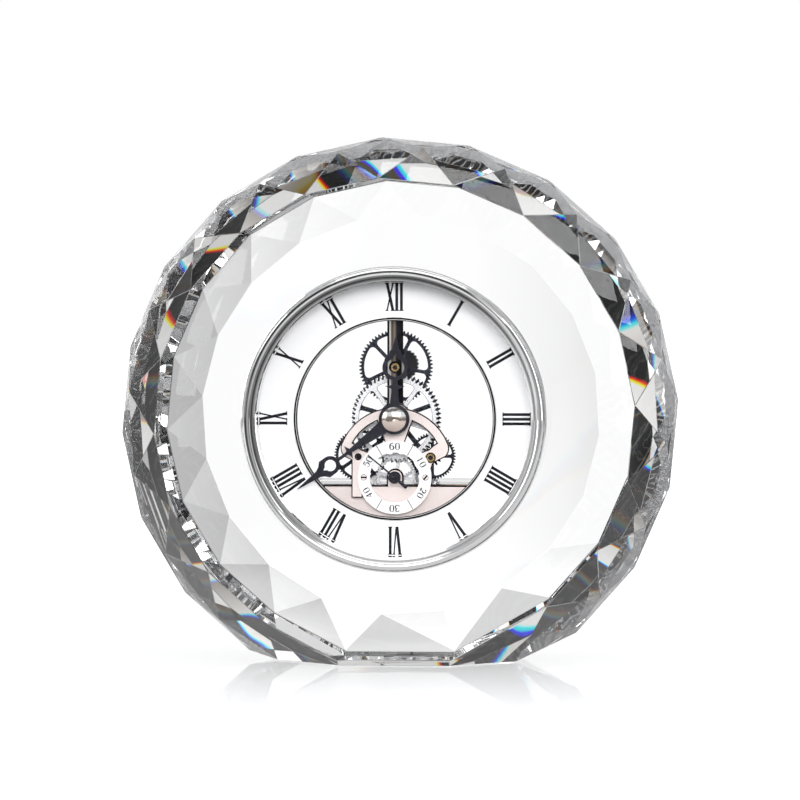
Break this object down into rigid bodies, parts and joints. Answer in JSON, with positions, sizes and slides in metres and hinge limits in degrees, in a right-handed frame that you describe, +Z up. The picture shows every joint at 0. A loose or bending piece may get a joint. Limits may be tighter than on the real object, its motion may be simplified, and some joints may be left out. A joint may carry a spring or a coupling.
{
  "type": "desk clock",
  "caption": "Round faceted clear crystal block on a flat base with a chrome-bezelled skeleton quartz clock insert: open dial, Roman hours, geared hands, seconds dial.",
  "frame": {"origin": "middle of the bottom of the whole clock, on the flat base of the block", "axes": "+Z up, -Y the way the dial faces, +X to the right as seen from the front"},
  "size_m": [0.1588, 0.0474, 0.1482],
  "materials": {
    "crystal": "polished, clear",
    "bezel_chrome": "polished, turned",
    "lens_glass": "clear",
    "seal_black": "matt",
    "reflector_chrome": "polished",
    "dial_silver": "satin, finely grained",
    "trim_chrome": "polished",
    "frame_silver": "satin",
    "plate_rose": "satin, dark polished bevels",
    "bar_dark": "polished, dark",
    "seconds_white": "white, satin",
    "screw_rose": "polished",
    "steel": "turned, polished",
    "clear_plastic": "clear, moulded",
    "gasket_clear": "soft, translucent",
    "brass": "turned",
    "steel_white": "polished",
    "stator_iron": "stamped",
    "bobbin_black": "moulded",
    "coil_copper": "wound wire",
    "board_green": "solder mask",
    "chip_black": "matt",
    "can_silver": "satin",
    "contact_nickel": "nickel plated",
    "cell_wrap": "printed foil",
    "wheel_dark": "blue-black, polished",
    "wheel_silver": "polished",
    "hand_black": "gloss black",
    "nut_chrome": "polished",
    "knob_black": "fluted, matt",
    "magnet_dark": "ground"
  },
  "bodies": {
    "clock_body": {"crystal_block": "crystal", "bezel_ring": "bezel_chrome", "front_lens": "lens_glass", "lens_seal": "seal_black", "reflector_ring": "reflector_chrome", "dial_plate": "dial_silver", "dial_trim_ring": "trim_chrome", "movement_frame": "frame_silver", "lower_plate": "plate_rose", "upper_bar": "bar_dark", "front_bridge": "plate_rose", "seconds_dial": "seconds_white", "seconds_dial_screws": "screw_rose", "pillars": "steel", "pillar_screws": "steel", "back_plate": "clear_plastic", "rear_case": "clear_plastic", "fit_gasket": "gasket_clear", "top_bush": "brass", "right_bush": "brass", "seconds_bush": "steel_white", "idler_stud": "steel", "stator": "stator_iron", "stator_posts": "steel", "coil_bobbin": "bobbin_black", "coil_winding": "coil_copper", "circuit_board": "board_green", "control_chip": "chip_black", "quartz_can": "can_silver", "cell_contacts": "contact_nickel", "battery_cell": "cell_wrap"},
    "minute_train": {"centre_arbor": "steel", "centre_wheel": "wheel_dark", "cannon_pinion": "steel_white", "minute_hand": "hand_black", "hand_nut": "nut_chrome"},
    "hour_train": {"hour_wheel": "wheel_silver", "hour_hand": "hand_black"},
    "top_train": {"top_arbor": "steel", "top_wheel": "wheel_dark", "setting_knob": "knob_black"},
    "right_train": {"right_arbor": "steel", "right_wheel": "wheel_dark"},
    "left_train": {"left_arbor": "steel", "left_wheel": "wheel_dark"},
    "idler_train": {"idler_pinion": "steel_white"},
    "lower_train": {"lower_arbor": "steel", "lower_wheel": "wheel_silver"},
    "seconds_train": {"seconds_arbor": "steel", "seconds_wheel": "wheel_silver", "seconds_hand": "hand_black"},
    "drive_train": {"drive_wheel": "wheel_silver", "drive_pinion": "steel"},
    "rotor_train": {"rotor_magnet": "magnet_dark", "rotor_pinion": "steel"}
  },
  "joints": [
    {"name": "minute_turn", "type": "hinge", "parent": "clock_body", "child": "minute_train", "pos_m": [0, 0, 0.0688], "axis": [0, 1, 0], "continuous": true},
    {"name": "hour_turn", "type": "hinge", "parent": "clock_body", "child": "hour_train", "pos_m": [0, 0, 0.0688], "axis": [0, 1, 0], "continuous": true},
    {"name": "setting_turn", "type": "hinge", "parent": "clock_body", "child": "top_train", "pos_m": [0, 0, 0.0832], "axis": [0, 1, 0], "continuous": true},
    {"name": "right_turn", "type": "hinge", "parent": "clock_body", "child": "right_train", "pos_m": [0.01004, 0, 0.05792], "axis": [0, 1, 0], "continuous": true},
    {"name": "left_turn", "type": "hinge", "parent": "clock_body", "child": "left_train", "pos_m": [-0.01028, 0, 0.05815], "axis": [0, 1, 0], "continuous": true},
    {"name": "idler_turn", "type": "hinge", "parent": "clock_body", "child": "idler_train", "pos_m": [0.01026, 0, 0.04933], "axis": [0, 1, 0], "continuous": true},
    {"name": "lower_turn", "type": "hinge", "parent": "clock_body", "child": "lower_train", "pos_m": [0.00614, 0, 0.0481], "axis": [0, 1, 0], "continuous": true},
    {"name": "seconds_turn", "type": "hinge", "parent": "clock_body", "child": "seconds_train", "pos_m": [0, 0, 0.0524], "axis": [0, 1, 0], "continuous": true},
    {"name": "drive_turn", "type": "hinge", "parent": "clock_body", "child": "drive_train", "pos_m": [-0.00486, 0, 0.04754], "axis": [0, 1, 0], "continuous": true},
    {"name": "rotor_turn", "type": "hinge", "parent": "clock_body", "child": "rotor_train", "pos_m": [-0.00902, 0, 0.04352], "axis": [0, 1, 0], "continuous": true}
  ],
  "couplings": [
    {"joint": "hour_turn", "follows": "minute_turn", "ratio": 0.083333},
    {"joint": "setting_turn", "follows": "minute_turn", "ratio": -0.41667},
    {"joint": "right_turn", "follows": "minute_turn", "ratio": -5},
    {"joint": "left_turn", "follows": "minute_turn", "ratio": -5},
    {"joint": "idler_turn", "follows": "minute_turn", "ratio": 15},
    {"joint": "lower_turn", "follows": "minute_turn", "ratio": -15},
    {"joint": "seconds_turn", "follows": "minute_turn", "ratio": 60},
    {"joint": "drive_turn", "follows": "minute_turn", "ratio": -240},
    {"joint": "rotor_turn", "follows": "minute_turn", "ratio": 1800}
  ]
}
